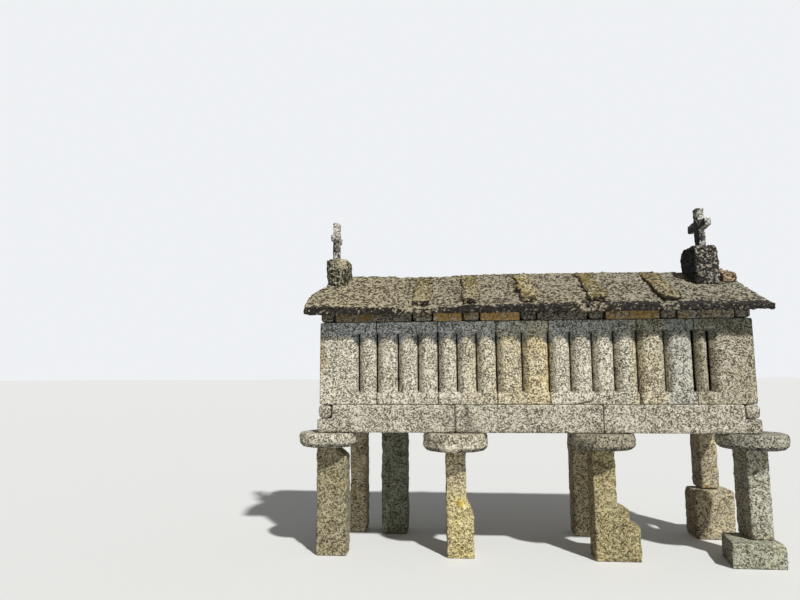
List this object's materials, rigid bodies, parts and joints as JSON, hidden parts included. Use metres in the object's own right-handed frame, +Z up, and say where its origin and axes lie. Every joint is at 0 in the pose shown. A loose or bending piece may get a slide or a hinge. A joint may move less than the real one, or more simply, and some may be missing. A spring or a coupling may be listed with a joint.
{
  "type": "raised stone granary",
  "caption": "Long narrow granite granary on pillars with round cap stones, slotted slab walls, stone slab roof and a cross on each gable",
  "frame": {"origin": "middle of the outline, on the lowest ground under the feet", "axes": "+X along the ridge to the right seen from the front, -Y towards the front, +Z up"},
  "size_m": [6.43, 2.2, 4.7239],
  "materials": {
    "wall_granite": "rough, lichen speckled",
    "sill_granite": "rough, grey lichen",
    "course_granite": "ochre stained",
    "roof_granite": "weathered, mossy",
    "leg_granite": "rough, lichen speckled",
    "cap_granite": "rough, grey lichen",
    "base_granite": "dark lichen crust",
    "cross_granite": "weathered",
    "door_wood": "weathered boards"
  },
  "bodies": {
    "root": {"back_cover_strips": "roof_granite", "back_pillar_1": "leg_granite", "back_pillar_2": "leg_granite", "back_pillar_3": "leg_granite", "back_pillar_4": "leg_granite", "back_pillar_5": "leg_granite", "back_plinth": "leg_granite", "back_roof_slabs": "roof_granite", "back_sill_1": "sill_granite", "back_sill_2": "sill_granite", "back_sill_3": "sill_granite", "back_slab_1": "wall_granite", "back_slab_2": "wall_granite", "back_slab_3": "wall_granite", "back_slab_4": "wall_granite", "back_slab_5": "wall_granite", "back_slab_6": "wall_granite", "back_slab_7": "wall_granite", "back_stretchers": "course_granite", "door": "door_wood", "floor_slabs": "sill_granite", "front_cap_1": "cap_granite", "front_cap_2": "cap_granite", "front_cap_3": "cap_granite", "front_cap_4": "cap_granite", "front_cover_strips": "roof_granite", "front_pillar_1": "leg_granite", "front_pillar_2": "leg_granite", "front_pillar_3": "leg_granite", "front_pillar_4": "leg_granite", "front_plinth": "leg_granite", "front_roof_slabs": "roof_granite", "front_sill_1": "sill_granite", "front_sill_2": "sill_granite", "front_sill_3": "sill_granite", "front_slab_1": "wall_granite", "front_slab_2": "wall_granite", "front_slab_3": "wall_granite", "front_slab_4": "wall_granite", "front_slab_5": "wall_granite", "front_slab_6": "wall_granite", "front_slab_7": "wall_granite", "front_stretchers": "course_granite", "left_cross": "cross_granite", "left_cross_base": "base_granite", "left_end_sill": "sill_granite", "left_gable_slab_1": "wall_granite", "left_gable_slab_2": "wall_granite", "left_gable_top": "course_granite", "ridge_end_stone": "base_granite", "right_cross": "cross_granite", "right_cross_base": "base_granite", "right_end_sill": "sill_granite", "right_gable_slab_1": "wall_granite", "right_gable_slab_2": "wall_granite", "right_gable_top": "course_granite", "tie_stones": "course_granite"}
  },
  "joints": []
}
